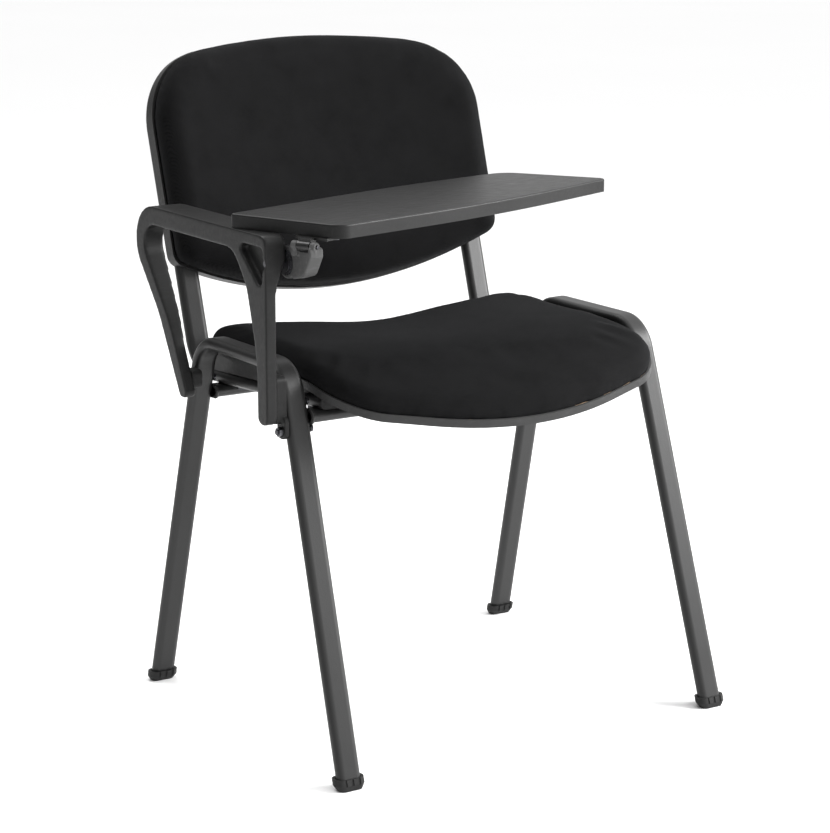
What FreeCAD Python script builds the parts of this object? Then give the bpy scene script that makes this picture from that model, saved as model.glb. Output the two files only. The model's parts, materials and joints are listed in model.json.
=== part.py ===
"""Stacking conference chair with one arm and a folding writing tablet.

Millimetres, +Z up, the sitter faces -Y and the arm is on the sitter's right, at -X.
Every sub-part is modelled in chair coordinates (the mirror plane of the chair is X = 0,
Y = 0 is midway between the front and rear feet, Z = 0 is the floor) and its Placement
then moves it so that the origin lies under the middle of the whole object.
"""
import FreeCAD, Part
import math
import os
import Sketcher
from FreeCAD import Placement, Rotation, Vector

doc = FreeCAD.newDocument("TabletChair")

# ---------------------------------------------------------------- driving dimensions

DIMENSIONS = [
    ("foot_span", 525.0, "left foot centre to right foot centre"),
    ("foot_base", 464.0, "front foot centre to rear foot centre"),
    ("frame_height", 470.0, "top face of the side frames"),
    ("front_lean", 17.8, "degrees, front leg from the vertical"),
    ("rear_lean", 14.3, "degrees, rear leg from the vertical"),
    ("splay", 1.43, "degrees, side frame from the vertical plane"),
    ("frame_bend", 45.0, "centre line radius of the side frame bends"),
    ("tube_wide", 30.0, "long side of the flat-oval tube"),
    ("tube_thick", 15.0, "short side of the flat-oval tube"),
    ("tube_wall", 1.5, "wall of the flat-oval tube"),
    ("seat_slope", 3.2, "degrees, seat carrier falls to the rear"),
    ("rear_bar_y", 130.0, "rear crossbar centre"),
    ("rear_bar_z", 394.0, "rear crossbar centre height"),
    ("bar_pitch", 230.0, "rear crossbar to front crossbar"),
    ("upright_x", 213.5, "back upright centre, each side"),
    ("upright_foot_y", 216.4, "upright centre line at upright_foot_z"),
    ("upright_foot_z", 465.0, "height where upright_foot_y holds"),
    ("upright_bend", 50.0, "centre line radius of the upright bend"),
    ("upright_top", 690.0, "height of the upright's top end"),
    ("recline", 17.0, "degrees, back from the vertical"),
    ("seat_half", 232.5, "half of the seat's width"),
    ("seat_rear", 168.0, "rear edge of the seat"),
    ("seat_rim", 446.0, "top of the pan rim along the sides"),
    ("seat_drop", 47.2, "fall of the rim to the front edge"),
    ("seat_dish", 15.3, "dish across the rear of the seat"),
    ("pan_depth", 9.0, "outside depth of the pan"),
    ("pan_wall", 3.0, "wall of the pan"),
    ("seat_foam", 23.5, "cushion above the rim"),
    ("back_half", 236.5, "half of the back's width"),
    ("back_centre_y", 254.0, "centre of the back at its rim"),
    ("back_centre_z", 646.0, "height of the centre of the back"),
    ("back_hollow", 32.0, "depth of the back's curve in plan"),
    ("shell_depth", 24.0, "outside depth of the back shell"),
    ("back_foam", 36.0, "back cushion in front of the rim"),
    ("board_thick", 9.0, "plywood boards"),
    ("arm_outer", 296.0, "outer face of the arm"),
    ("arm_post", 14.0, "width of the arm's posts"),
    ("arm_rail", 44.0, "width of the arm rest"),
    ("arm_top", 621.0, "top face of the arm rest"),
    ("tablet_gap", 0.4, "tablet above the arm rest"),
    ("tablet_thick", 16.0, "tablet edge"),
    ("tablet_skin", 3.5, "tablet plate and rim"),
    ("swing_y", -104.0, "swing axis"),
    ("swing_z", 589.0, "swing axis height"),
    ("swing_bolt", 3.0, "radius of the swing bolt"),
    ("lift_z", 612.0, "height of the lift hinge"),
    ("hinge_wire", 2.0, "radius of the lift hinge pin"),
    ("running_fit", 0.06, "radial play of a turning pin"),
    ("shift_x", 7.75, "chair mirror plane from the origin"),
    ("shift_y", -57.2, "middle of the feet from the origin"),
]

sheet = doc.addObject("Spreadsheet::Sheet", "Dims")
for row, (name, value, meaning) in enumerate(DIMENSIONS, start=1):
    sheet.set("A%d" % row, name)
    sheet.set("B%d" % row, repr(value))
    sheet.set("C%d" % row, meaning)
    sheet.setAlias("B%d" % row, name)
doc.recompute()


def dim(name):
    return float(sheet.get(name))


def tan_deg(angle):
    return math.tan(math.radians(angle))


def cos_deg(angle):
    return math.cos(math.radians(angle))


def sin_deg(angle):
    return math.sin(math.radians(angle))


CHAIR = Placement(Vector(dim("shift_x"), dim("shift_y"), 0), Rotation())
RIGHT, LEFT = -1, 1
SIDES = [("right", RIGHT), ("left", LEFT)]
ACROSS = Vector(1, 0, 0)
UP = Vector(0, 0, 1)

# ---------------------------------------------------------------- sketch and shape helpers

parts = []


def body(label):
    piece = doc.addObject("PartDesign::Body", label)
    piece.Label = label
    parts.append(piece)
    return piece


def feature(label, shape, placement=CHAIR):
    """A sub-part whose shape is built with Part's own functions."""
    piece = doc.addObject("Part::Feature", label)
    piece.Label = label
    piece.Shape = shape
    piece.Placement = placement
    parts.append(piece)
    return piece


def sketch(piece, role, name, offset=Placement()):
    """A sketch on one of the body's own origin planes."""
    plane = [item for item in piece.Origin.OriginFeatures if item.Role == role][0]
    drawing = piece.newObject("Sketcher::SketchObject", piece.Label + "_" + name)
    drawing.AttachmentSupport = [(plane, "")]
    drawing.MapMode = "FlatFace"
    drawing.AttachmentOffset = offset
    return drawing


def lifted(height):
    return Placement(Vector(0, 0, height), Rotation())


def round_corner(before, corner, after, radius):
    """Start, middle and end of the arc that rounds a corner."""
    back = (before - corner).normalize()
    onward = (after - corner).normalize()
    half = back.getAngle(onward) / 2
    reach = radius / math.tan(half)
    centre = corner + (back + onward).normalize() * (radius / math.sin(half))
    middle = centre + (corner - centre).normalize() * radius
    return corner + back * reach, middle, corner + onward * reach


def rounded(corners, closed=True):
    """Arcs and lines in order through corners given as (u, v, radius)."""
    points = [Vector(u, v, 0) for u, v, radius in corners]
    last = len(points) - 1
    arcs = []
    for index, (u, v, radius) in enumerate(corners):
        free_end = not closed and index in (0, last)
        if radius == 0 or free_end:
            arcs.append([points[index]])
        else:
            after = points[(index + 1) % len(points)]
            arcs.append(round_corner(points[index - 1], points[index], after, radius))
    curves = []
    for index, arc in enumerate(arcs):
        if len(arc) == 3:
            curves.append(Part.Arc(*arc))
        following = arcs[(index + 1) % len(arcs)][0]
        if (closed or index < last) and (following - arc[-1]).Length > 1e-6:
            curves.append(Part.LineSegment(arc[-1], following))
    return curves


def face_of(corners):
    return Part.Face(Part.Wire([curve.toShape() for curve in rounded(corners)]))


def flat_oval(drawing, centre=(0, 0), hollow=True):
    """Flat-oval tube section, its long side across the sketch, bound to the sheet."""
    rule = Sketcher.Constraint
    reach = 0.5 * (dim("tube_wide") - dim("tube_thick"))
    right, left = Vector(centre[0] + reach, centre[1], 0), Vector(centre[0] - reach, centre[1], 0)
    for ring, inset in (("outer", 0.0), ("inner", dim("tube_wall")))[:2 if hollow else 1]:
        radius = 0.5 * dim("tube_thick") - inset
        rise, side = Vector(0, radius, 0), Vector(radius, 0, 0)
        first = drawing.addGeometry([
            Part.Arc(right - rise, right + side, right + rise),
            Part.LineSegment(right + rise, left + rise),
            Part.Arc(left + rise, left - side, left - rise),
            Part.LineSegment(left - rise, right - rise)])[0]
        for step in range(4):
            drawing.addConstraint(rule("Tangent", first + step, 2, first + (step + 1) % 4, 1))
        drawing.addConstraint(rule("Horizontal", first + 1))
        drawing.addConstraint(rule("Horizontal", first + 3))
        drawing.addConstraint(rule("DistanceY", -1, 1, first, 3, centre[1]))
        drawing.addConstraint(rule("DistanceX", -1, 1, first, 3, centre[0] + reach))
        bound(drawing, ring + "_radius", rule("Radius", first, radius),
              "Dims.tube_thick / 2 - " + ("Dims.tube_wall" if inset else "0"))
        bound(drawing, ring + "_reach", rule("DistanceX", first + 2, 3, first, 3, 2 * reach),
              "Dims.tube_wide - Dims.tube_thick")


def bound(drawing, name, constraint, formula):
    """A named constraint that follows the sheet."""
    number = drawing.addConstraint(constraint)
    drawing.renameConstraint(number, name)
    drawing.setExpression("Constraints." + name, formula)


def draw(drawing, corners, closed=True):
    """Rounded outline or path in a sketch, its pieces joined end to end."""
    drawing.addGeometry(rounded(corners, closed))


def solid_feature(piece, kind, name, **settings):
    """A PartDesign feature; text settings that start with = are expressions."""
    made = piece.newObject("PartDesign::" + kind, piece.Label + "_" + name)
    for key, value in settings.items():
        if isinstance(value, str) and value.startswith("="):
            made.setExpression(key, value[1:])
        else:
            setattr(made, key, value)
    return made


def drill(piece, name, role, offset, centres, radius, direction):
    """Round holes right through a body, along a direction of its own."""
    circles = sketch(piece, role, name, offset)
    for u, v in centres:
        circles.addGeometry(Part.Circle(Vector(u, v, 0), UP, radius))
    before = piece.Shape.Volume
    solid_feature(piece, "Pocket", name + "_cut", Profile=circles, Length=120, Midplane=True,
                  UseCustomVector=True, Direction=direction)
    doc.recompute()
    if piece.Shape.Volume > before - 20:
        raise RuntimeError(piece.Label + " " + name + " cut nothing")


def rounded_box(low, high, radius):
    """A box whose four edges along X are rounded."""
    block = Part.makeBox(high.x - low.x, high.y - low.y, high.z - low.z, low)
    along = [edge for edge in block.Edges if abs(edge.tangentAt(edge.FirstParameter).x) > 0.9]
    return block.makeFillet(radius, along)


# ---------------------------------------------------------------- side frames

run_z = dim("frame_height") - dim("tube_thick") / 2
leg_end = 6.0
half_base = dim("foot_base") / 2


def leg_y(end, height):
    """Centre line of a leg; end is -1 for the front leg and +1 for the rear leg."""
    lean = dim("front_lean") if end < 0 else dim("rear_lean")
    return end * (half_base - height * tan_deg(lean))


def frame_x(height):
    """Distance of a side frame's centre from the mirror plane."""
    return dim("foot_span") / 2 - height * tan_deg(dim("splay"))


screw_play = 3.3
front_post_bolt = (leg_y(-1, 424.0), 424.0)
front_leg_bolt = (leg_y(-1, 394.0), 394.0)
rear_post_bolt = (104.0, 418.0)
rear_leg_bolt = (leg_y(1, 412.0), 412.0)


def side_frame(name, side):
    """Inverted U of flat-oval tube: two pipes that start back to back in the top run."""
    frame = body("side_frame_" + name)
    section = sketch(frame, "XZ_Plane", "section")
    flat_oval(section, (0, run_z))
    for leg, end in (("front", -1), ("rear", 1)):
        path = sketch(frame, "YZ_Plane", leg + "_path")
        draw(path, [(0, run_z, 0), (leg_y(end, run_z), run_z, dim("frame_bend")),
                    (leg_y(end, leg_end), leg_end, 0)], closed=False)
        doc.recompute()
        solid_feature(frame, "AdditivePipe", leg, Profile=section, Spine=(path, [""]))
        doc.recompute()
    tilt = Rotation(Vector(0, 1, 0), -side * dim("splay"))
    if side == RIGHT:
        drill(frame, "bolt_holes", "YZ_Plane", lifted(0),
              [(y, z / cos_deg(dim("splay"))) for y, z in (front_post_bolt, front_leg_bolt, rear_leg_bolt)],
              screw_play, tilt.inverted().multVec(ACROSS))
    frame.Placement = CHAIR * Placement(Vector(side * dim("foot_span") / 2, 0, 0), tilt)


for side_name, side_sign in SIDES:
    side_frame(side_name, side_sign)

# ---------------------------------------------------------------- seat carrier

SEAT_TILT = Rotation(ACROSS, -dim("seat_slope"))
rear_bar = Vector(0, dim("rear_bar_y"), dim("rear_bar_z"))
carrier_up = SEAT_TILT.multVec(UP)
carrier_back = SEAT_TILT.multVec(Vector(0, 1, 0))
front_bar = rear_bar - carrier_back * dim("bar_pitch")


def crossbar(name, centre):
    """Flat-oval tube between the legs, its flat faces up and down."""
    bar = body(name)
    section = sketch(bar, "YZ_Plane", "section")
    flat_oval(section)
    inner = frame_x(centre.z) - dim("tube_wide") / 2
    weld_overlap = 1.5
    solid_feature(bar, "Pad", "tube", Profile=section, Midplane=True,
                  Length=2 * (inner + weld_overlap))
    bar.Placement = CHAIR * Placement(centre, SEAT_TILT)


crossbar("rear_crossbar", rear_bar)
crossbar("front_crossbar", front_bar)

BACK_AT = Placement(Vector(0, dim("back_centre_y"), dim("back_centre_z")),
                    Rotation(ACROSS, 90 - dim("recline")))
back_screw_vs = (-60.0, 40.0)


def back_point(u, v, w):
    """A point of the back's own plane in chair coordinates."""
    return BACK_AT.multVec(Vector(u, v, w))


# the upright's run lies on both crossbars, then turns up behind the seat
run_start = 16.0
run_line = rear_bar + carrier_up * dim("tube_thick")
upright_dir = Vector(0, sin_deg(dim("recline")), cos_deg(dim("recline")))
upright_point = Vector(0, dim("upright_foot_y"), dim("upright_foot_z"))


def carrier_frame(point):
    """A chair point in the carrier's own slope, measured from the rear crossbar."""
    away = SEAT_TILT.inverted().multVec(point - run_line)
    return away.y, away.z


carrier_top = run_line + carrier_up * (dim("tube_thick") / 2)
seat_screw_ys = (-72.0, 96.0)
screw_radius = 3.0


def carrier_top_z(y):
    """Height of the carrier's top face."""
    return carrier_top.z - (y - carrier_top.y) * tan_deg(dim("seat_slope"))


seat_screw_points = [Vector(side * dim("upright_x"), y, carrier_top_z(y))
                     for side in (RIGHT, LEFT) for y in seat_screw_ys]


corner_rise = carrier_frame(upright_point)
top_point = upright_point + upright_dir * (
    (dim("upright_top") - dim("upright_foot_z")) / cos_deg(dim("recline")))
top_y, top_z = carrier_frame(top_point)
corner_y = corner_rise[0] - corner_rise[1] * (top_y - corner_rise[0]) / (top_z - corner_rise[1])


def back_upright(name, side):
    """L-shaped flat-oval tube that carries the seat and the back."""
    upright = body("back_upright_" + name)
    section = sketch(upright, "XZ_Plane", "section",
                     lifted(dim("bar_pitch") + run_start))
    flat_oval(section)
    path = sketch(upright, "YZ_Plane", "path")
    draw(path, [(-dim("bar_pitch") - run_start, 0, 0), (corner_y, 0, dim("upright_bend")),
                (top_y, top_z, 0)], closed=False)
    doc.recompute()
    solid_feature(upright, "AdditivePipe", "tube", Profile=section, Spine=(path, [""]))
    doc.recompute()
    drill(upright, "seat_holes", "XY_Plane", lifted(0),
          [(0, carrier_frame(point)[0]) for point in seat_screw_points[:2]], screw_play, UP)
    for index, v in enumerate(back_screw_vs):
        point = back_point(0, v, 0)
        along = (point - upright_point).dot(upright_dir)
        centre_y, centre_z = carrier_frame(upright_point + upright_dir * along)
        normal = SEAT_TILT.inverted().multVec(BACK_AT.Rotation.multVec(UP))
        drill(upright, "back_hole%d" % index, "XZ_Plane", lifted(-centre_y),
              [(0, centre_z)], screw_play, normal)
    at = run_line + ACROSS * (side * dim("upright_x"))
    upright.Placement = CHAIR * Placement(at, SEAT_TILT)


for side_name, side_sign in SIDES:
    back_upright(side_name, side_sign)

# ---------------------------------------------------------------- feet

foot_height = 13.5
hull_height = 6.5
sole_long, sole_wide = 30.0, 15.0
cap_long, cap_wide = 38.0, 21.0
socket_floor = 3.2
slot_pitch, slot_wide = 9.0, 3.4
slot_clear, slot_floor = 20.0, 8.9
socket_play = 0.85


def cap_outline(long_side, wide_side):
    u, v, radius = long_side / 2, wide_side / 2, wide_side * 0.45
    return [(u, v, radius), (-u, v, radius), (-u, -v, radius), (u, -v, radius)]


def foot(name, side, end):
    """Moulded glide cap: a boat-shaped sole under a sleeve that takes the leg."""
    cap = body("foot_" + name)
    lean = dim("front_lean") if end < 0 else dim("rear_lean")
    drift = -end * tan_deg(lean)
    levels = [(0.0, sole_long, sole_wide), (hull_height, cap_long, cap_wide),
              (foot_height, cap_long, cap_wide)]
    outlines = []
    for index, (height, long_side, wide_side) in enumerate(levels):
        ring = sketch(cap, "XY_Plane", "ring%d" % index,
                      Placement(Vector(0, height * drift, height), Rotation()))
        draw(ring, cap_outline(long_side, wide_side))
        outlines.append(ring)
    doc.recompute()
    solid_feature(cap, "AdditiveLoft", "shell", Profile=outlines[0],
                  Sections=outlines[1:], Ruled=True)
    doc.recompute()
    socket = sketch(cap, "XY_Plane", "socket",
                    Placement(Vector(0, socket_floor * drift, socket_floor), Rotation()))
    long_side = dim("tube_wide") + socket_play
    wide_side = dim("tube_thick") / cos_deg(lean) + socket_play
    draw(socket, cap_outline(long_side, wide_side))
    before = cap.Shape.Volume
    solid_feature(cap, "Pocket", "socket_cut", Profile=socket, Length=foot_height + 5,
                  UseCustomVector=True, Direction=Vector(0, drift, 1),
                  AlongSketchNormal=True)
    doc.recompute()
    for face in (1, -1):
        slots = sketch(cap, "XZ_Plane", "slots_front" if face > 0 else "slots_rear", Placement(
            Vector(), Rotation(Vector(1, 0, 0), end * lean)) * lifted(face * slot_clear))
        for middle in (-slot_pitch, 0.0, slot_pitch):
            draw(slots, [(middle - slot_wide / 2, 3.5, 0), (middle + slot_wide / 2, 3.5, 0),
                         (middle + slot_wide / 2, 24, 0), (middle - slot_wide / 2, 24, 0)])
        solid_feature(cap, "Pocket", slots.Name + "_cut", Profile=slots, Reversed=face < 0,
                      Length=slot_clear - slot_floor)
        doc.recompute()
    if cap.Shape.Volume > before - 4000:
        raise RuntimeError(cap.Label + " lost too little for its socket and slots")
    cap.Placement = CHAIR * Placement(
        Vector(side * dim("foot_span") / 2, end * half_base, 0), Rotation())


for side_name, side_sign in SIDES:
    foot("front_" + side_name, side_sign, -1)
    foot("rear_" + side_name, side_sign, 1)

# ---------------------------------------------------------------- contoured panels


def sheet_face(height, reach_x, reach_y, centre_y=0.0):
    """A smooth face z = height(x, y) over a rectangle, through a coarse grid."""
    steps = 8
    grid = []
    for i in range(steps + 1):
        x = reach_x * (2 * i / steps - 1)
        ys = [centre_y + reach_y * (2 * j / steps - 1) for j in range(steps + 1)]
        grid.append([Vector(x, y, height(x, y)) for y in ys])
    surface = Part.BSplineSurface()
    surface.interpolate(grid)
    return surface.toShape()


def panel(corners, lower, upper, reach_x, reach_y, centre_y=0.0):
    """The solid inside an outline, between two height functions."""
    tall = 400.0
    outline = face_of(corners)
    outline.translate(Vector(0, 0, -tall / 2))
    block = outline.extrude(Vector(0, 0, 2 * tall))
    above = sheet_face(upper, reach_x, reach_y, centre_y).extrude(Vector(0, 0, 2 * tall))
    below = sheet_face(lower, reach_x, reach_y, centre_y).extrude(Vector(0, 0, -2 * tall))
    return block.cut(above).cut(below).removeSplitter()


def soften(shape, radius, test):
    """Rounds the edges that pass the test; leaves the shape sharp if that fails."""
    chosen = [edge for edge in shape.Edges if test(edge)]
    for size in (radius, radius * 0.7, radius * 0.4):
        try:
            soft = shape.makeFillet(size, chosen)
        except Part.OCCError:
            continue
        if not soft.isNull() and soft.isValid():
            return soft
    return shape


# ---------------------------------------------------------------- seat

seat_centre_y = -62.0
seat_reach_x, seat_reach_y = 270.0, 245.0
waterfall_start = -63.2
waterfall_run = 153.2


def seat_outline(inset):
    half, rear = dim("seat_half") - inset, dim("seat_rear") - inset
    front = -235 + inset
    return [(half, rear, 40 - inset), (half, -168, 75), (0, front, 486),
            (-half, -168, 75), (-half, rear, 40 - inset)]


def seat_base(x, y):
    """Top of the pan's rim: flat sides, waterfall front, dished rear."""
    fall = max(0.0, waterfall_start - y) / waterfall_run
    toward_rear = min(1.0, max(0.0, (y + 200.0) / 350.0))
    across = min(1.0, abs(x) / dim("seat_half"))
    dish = dim("seat_dish") * toward_rear * (1 - across ** 1.7) ** 2.4
    return dim("seat_rim") - dim("seat_drop") * fall ** 2 - dish


def above_seat(rise):
    return lambda x, y: seat_base(x, y) + rise


def seat_panel(inset, low, high):
    return panel(seat_outline(inset), above_seat(low), above_seat(high),
                 seat_reach_x, seat_reach_y, seat_centre_y)


pan_floor = -dim("pan_depth") + dim("pan_wall")
board_inset = dim("pan_wall") + 4.0
board_top = pan_floor + dim("board_thick")
boss_radius = 11.0
rail_start, rail_length = 0.0, 150.0


def along_carrier(radius, length, point, start=0.0):
    """A cylinder square to the carrier, from start above its top face."""
    return Part.makeCylinder(radius, length, point + carrier_up * start, carrier_up)


def seat_pan_shape():
    outer = seat_panel(0.0, -dim("pan_depth"), 0.0)
    hollow = seat_panel(dim("pan_wall"), pan_floor, 60.0)
    pan = outer.cut(hollow)
    for point in seat_screw_points:
        rise = seat_base(point.x, point.y) + pan_floor - point.z
        pan = pan.fuse(along_carrier(boss_radius, rise, point))
    under_floor = seat_panel(2.0, -60.0, pan_floor - 1.0)
    for side in (RIGHT, LEFT):
        rail = Part.makeBox(2 * boss_radius, rail_length, 40, Vector(-boss_radius, 0, 0))
        rail.Placement = Placement(Vector(side * dim("upright_x"), rail_start,
                                          carrier_top_z(rail_start)), SEAT_TILT)
        pan = pan.fuse(rail.common(under_floor))
    for point in seat_screw_points:
        pan = pan.cut(along_carrier(screw_radius + 0.3, 60, point, -5))
    return pan.removeSplitter()


seat_pan = seat_pan_shape()
feature("seat_pan", seat_pan)

seat_board = seat_panel(board_inset, pan_floor, board_top).cut(seat_pan)
nut_radius = 4.5
for point in seat_screw_points:
    seat_board = seat_board.cut(along_carrier(nut_radius, 90, point, -5))
feature("seat_board", seat_board)

seat_cushion = seat_panel(1.5, 0.0, dim("seat_foam"))
seat_cushion = soften(seat_cushion, 17.0, lambda edge: edge.BoundBox.ZMin > dim("seat_rim") - 48
                      and edge.BoundBox.Center.z > seat_base(0, -265) + 20
                      and abs(edge.BoundBox.Center.z - seat_base(
                          edge.BoundBox.Center.x, edge.BoundBox.Center.y) - dim("seat_foam")) < 14
                      and edge.BoundBox.DiagonalLength > 60)
seat_cushion = seat_cushion.cut(seat_panel(board_inset - 0.3, -20.0, board_top + 0.3))
feature("seat_cushion", seat_cushion)

# ---------------------------------------------------------------- back

back_reach_x, back_reach_y = 270.0, 205.0
rim_z = 1.0


def back_outline(inset):
    """Outline in the back's own plane: u across, v up the back."""
    half = dim("back_half") - inset
    return [(half, 142 - inset, 100), (0, 178 - inset, 700), (-half, 142 - inset, 100),
            (-half, -112 + inset, 17), (0, -197 + inset, 610), (half, -112 + inset, 17)]


def back_base(x, y):
    """The rim of the back, hollow toward the sitter's sides."""
    across = min(1.15, abs(x) / dim("back_half"))
    return -dim("back_hollow") * (1 - across ** 2)


def off_back(rise):
    return lambda x, y: back_base(x, y) + rise


def back_panel(inset, low, high):
    return panel(back_outline(inset), off_back(low), off_back(high),
                 back_reach_x, back_reach_y)


def oval_bar(wide, thick, length):
    """A solid flat-oval bar along +Z, long side along X."""
    reach, radius = (wide - thick) / 2, thick / 2
    ends = [Vector(-reach, 0, 0), Vector(reach, 0, 0)]
    bar = Part.makeBox(2 * reach, thick, length, Vector(-reach, -radius, 0))
    for end in ends:
        bar = bar.fuse(Part.makeCylinder(radius, length, end))
    return bar.removeSplitter()


def upright_space(side, play):
    """The room an upright takes behind the back, with play all round."""
    bar = oval_bar(dim("tube_wide") + 2 * play, dim("tube_thick") + 2 * play, 260)
    at = upright_point + ACROSS * (side * dim("upright_x"))
    bar.Placement = Placement(at, Rotation(ACROSS, -dim("recline")))
    return bar


head_play = 5.6
shell = back_panel(0.0, -dim("shell_depth"), -rim_z)
shell = soften(shell, 10.0, lambda edge: edge.BoundBox.DiagonalLength > 15 and abs(
    edge.BoundBox.Center.z - back_base(edge.BoundBox.Center.x, 0) + dim("shell_depth")) < 9)
shell = shell.cut(back_panel(3.0, 3.0 - dim("shell_depth"), 40.0))
for side_name, side_sign in SIDES:
    slot = upright_space(side_sign, 0.5)
    slot.Placement = BACK_AT.inverse() * slot.Placement
    shell = shell.cut(slot)
    for v in back_screw_vs:
        shell = shell.cut(Part.makeCylinder(head_play, 60,
                                            Vector(side_sign * dim("upright_x"), v, -45)))
feature("back_shell", shell, CHAIR * BACK_AT)

back_board = back_panel(8.0, rim_z, rim_z + dim("board_thick"))
for side_name, side_sign in SIDES:
    for v in back_screw_vs:
        hole = Part.makeCylinder(nut_radius, 60, Vector(side_sign * dim("upright_x"), v, -35))
        back_board = back_board.cut(hole)
feature("back_board", back_board, CHAIR * BACK_AT)

back_cushion = back_panel(1.5, -rim_z + 1.0, dim("back_foam"))
back_cushion = soften(back_cushion, 17.0, lambda edge: edge.BoundBox.DiagonalLength > 15 and abs(
    edge.BoundBox.Center.z - back_base(edge.BoundBox.Center.x, 0) - dim("back_foam")) < 14)
back_cushion = back_cushion.cut(back_panel(7.7, -20.0, rim_z + dim("board_thick") + 0.3))
feature("back_cushion", back_cushion, CHAIR * BACK_AT)

# ---------------------------------------------------------------- arm

post_front = -112.0
post_back = -89.0
insert_radius = 4.6
insert_depth = 10.0
swing_at = (dim("swing_y"), dim("swing_z"))
hollow_depth = 10.0
nut_floor = -dim("arm_outer") + hollow_depth + 1.0
nut_hole_radius = 6.4


def arm_loop_body():
    """Moulded arm: two posts and a rail, closed at the top and open at the bottom."""
    arm = body("arm_loop")
    side_view = sketch(arm, "YZ_Plane", "side_view", lifted(-dim("arm_outer")))
    top = dim("arm_top")
    draw(side_view, [
        (post_front, 403, 9), (post_front, top, 10), (257, top, 44), (153, 494, 150),
        (101, 399, 7), (81, 399, 7), (122, 484, 200), (211, 598, 24), (-36, 598, 34),
        (-66, 560, 60), (post_back, 480, 200), (post_back, 403, 9)])
    solid_feature(arm, "Pad", "loop", Profile=side_view, Length="=Dims.arm_rail")
    doc.recompute()
    inner = -dim("arm_outer") + dim("arm_post")
    rail = -dim("arm_outer") + dim("arm_rail")
    under_rail = [(inner + 13, 601, 8), (rail - 3, 609, 4), (rail, 614, 3), (rail, 640, 0),
                  (rail + 20, 640, 0), (rail + 20, 380, 0)]
    for view, start, flare in (
            ("front_post", 400, [(inner, 380, 0), (inner, 560, 60), (inner + 12, 592, 10)]),
            ("rear_post", 0, [(inner, 380, 0), (inner, 462, 120), (inner + 12, 560, 60)])):
        waste = sketch(arm, "XZ_Plane", view, lifted(start))
        draw(waste, flare + under_rail)
        before = arm.Shape.Volume
        solid_feature(arm, "Pocket", view + "_flare", Profile=waste, Length=400)
        doc.recompute()
        if arm.Shape.Volume > before - 1000:
            raise RuntimeError("arm flare cut nothing")
    plan = sketch(arm, "XY_Plane", "plan", lifted(570))
    draw(plan, [(rail + 20, -20, 0), (rail, -34, 20), (inner + 13, -84, 40),
                (inner + 12, post_front - 20, 0), (rail + 20, post_front - 20, 0)])
    solid_feature(arm, "Pocket", "nose", Profile=plan, Length=80, Reversed=True)
    doc.recompute()
    hollow = sketch(arm, "YZ_Plane", "hollow", lifted(-dim("arm_outer")))
    draw(hollow, [(-44, 607, 6), (-106, 607, 6), (-103, 556, 7)])
    before = arm.Shape.Volume
    solid_feature(arm, "Pocket", "hollow_cut", Profile=hollow, Length=hollow_depth,
                  Reversed=True)
    doc.recompute()
    if arm.Shape.Volume > before - 3000:
        raise RuntimeError("arm hollow cut nothing")
    for role, start, depth, radius, centres in (
            ("insert_holes", inner, insert_depth, insert_radius, (front_post_bolt, rear_post_bolt)),
            ("swing_hole", rail, 60.0, dim("swing_bolt"), (swing_at,)),
            ("nut_hole", nut_floor, 20.0, nut_hole_radius, (swing_at,))):
        circles = sketch(arm, "YZ_Plane", role, lifted(start))
        for y, z in centres:
            circles.addGeometry(Part.Circle(Vector(y, z, 0), UP, radius))
        solid_feature(arm, "Pocket", role + "_cut", Profile=circles, Length=depth)
        doc.recompute()
    arm.Placement = CHAIR


arm_loop_body()

# ---------------------------------------------------------------- fasteners

ARM_X = -dim("arm_outer")
post_inner = ARM_X + dim("arm_post")
bolt_radius = 3.0


def turned(steps, direction=UP):
    """Stacked cylinders along a direction: (radius, start, end)."""
    shape = None
    for radius, start, end in steps:
        disc = Part.makeCylinder(radius, end - start, direction * start, direction)
        shape = disc if shape is None else shape.fuse(disc)
    return shape.removeSplitter()


def hexagon(across_flats, start, end, direction=UP):
    """A hexagonal prism along a direction, from start to end."""
    reach = across_flats / math.sqrt(3)
    corners = [(reach * math.cos(math.radians(60 * k)), reach * math.sin(math.radians(60 * k)), 0)
               for k in range(6)]
    prism = face_of(corners).extrude(Vector(0, 0, end - start))
    prism.translate(Vector(0, 0, start))
    prism.Placement = Placement(Vector(), Rotation(UP, direction)) * prism.Placement
    return prism


def cap_screw(head_radius, head_height, radius, length, key):
    """A socket screw along +Z: its head below Z = 0, its shank above."""
    screw = turned([(head_radius, -head_height, 0), (radius, 0, length)])
    return screw.cut(hexagon(key, -head_height - 1, -head_height / 2))


def at_points(shape, placements):
    copies = []
    for placement in placements:
        copy = shape.copy()
        copy.Placement = placement * copy.Placement
        copies.append(copy)
    return Part.makeCompound(copies)


def seat_screw(point):
    """Screw from under the carrier tube into the board, stopping just short of its top."""
    length = seat_base(point.x, point.y) + board_top - 1.5 - point.z + dim("tube_thick")
    screw = cap_screw(6.0, 4.0, screw_radius, length, 4.0)
    screw.Placement = Placement(point - carrier_up * dim("tube_thick"), SEAT_TILT)
    return screw


feature("seat_screws", Part.makeCompound([seat_screw(point) for point in seat_screw_points]))


def seat_nut(point):
    """Barrel nut that fills the board's hole over the screw's own length."""
    hole = Part.makeCylinder(nut_radius, 90, point + carrier_up * -5, carrier_up)
    plug = hole.common(seat_panel(board_inset, pan_floor, board_top)).cut(seat_pan)
    return plug.cut(along_carrier(screw_radius, 90, point, -5))


feature("seat_nuts", Part.makeCompound([seat_nut(point) for point in seat_screw_points]))


def back_screw_place(side, v):
    """Where a back screw's head meets the rear face of an upright."""
    point = back_point(0, v, 0)
    along = (point - upright_point).dot(upright_dir)
    centre = upright_point + upright_dir * along + ACROSS * (side * dim("upright_x"))
    normal = BACK_AT.Rotation.multVec(UP)
    return Placement(centre - normal * (dim("tube_thick") / 2), BACK_AT.Rotation)


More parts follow.
